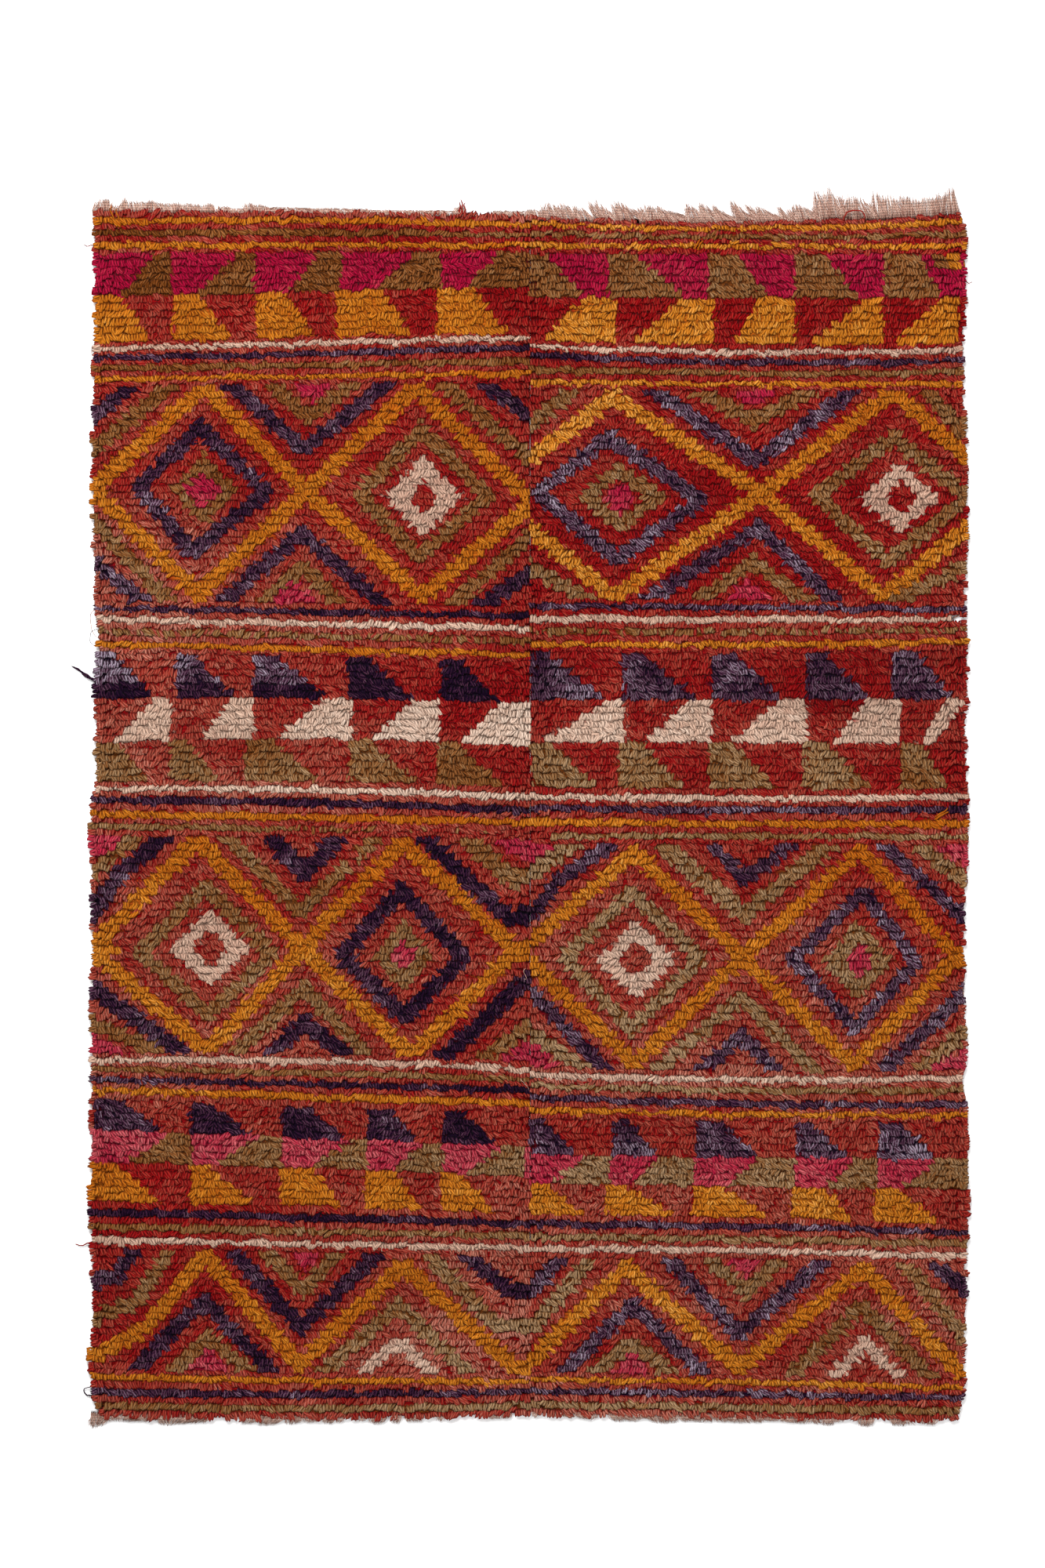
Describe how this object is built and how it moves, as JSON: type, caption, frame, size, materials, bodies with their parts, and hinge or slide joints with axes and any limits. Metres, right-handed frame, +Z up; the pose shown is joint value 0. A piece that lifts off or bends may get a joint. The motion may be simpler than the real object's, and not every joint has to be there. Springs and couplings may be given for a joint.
{
  "type": "turkish rug",
  "caption": "Flat Turkish wool rug of joined hand-woven panels with a loop pile, nested diamonds, sawtooth borders and short warp fringes.",
  "frame": {"origin": "centre of the rug's box, on the floor", "axes": "+X across the rug, +Y along it towards the head end, +Z up out of the pile"},
  "size_m": [1.2098, 1.7028, 0.012],
  "materials": {
    "wool_red": "thick looped wool pile, matt with a soft sheen, madder red shading from crimson to brick",
    "wool_gold": "looped wool pile, golden yellow with orange streaks",
    "wool_khaki": "looped wool pile, khaki green to olive brown",
    "wool_indigo": "looped wool pile, dark indigo with greyed violet streaks",
    "wool_cream": "looped wool pile, undyed cream",
    "wool_pink": "looped wool pile, cochineal pink to magenta",
    "warp": "undyed goat-hair and wool warp ends, loosely spun and fuzzy",
    "ground": "plain-woven wool ground, weft-faced"
  },
  "bodies": {
    "root": {"panel_left": "wool_red", "panel_right": "wool_red", "fringe_top_left": "warp", "fringe_top_right": "warp", "fringe_bottom_left": "warp", "fringe_bottom_right": "warp"}
  },
  "joints": []
}
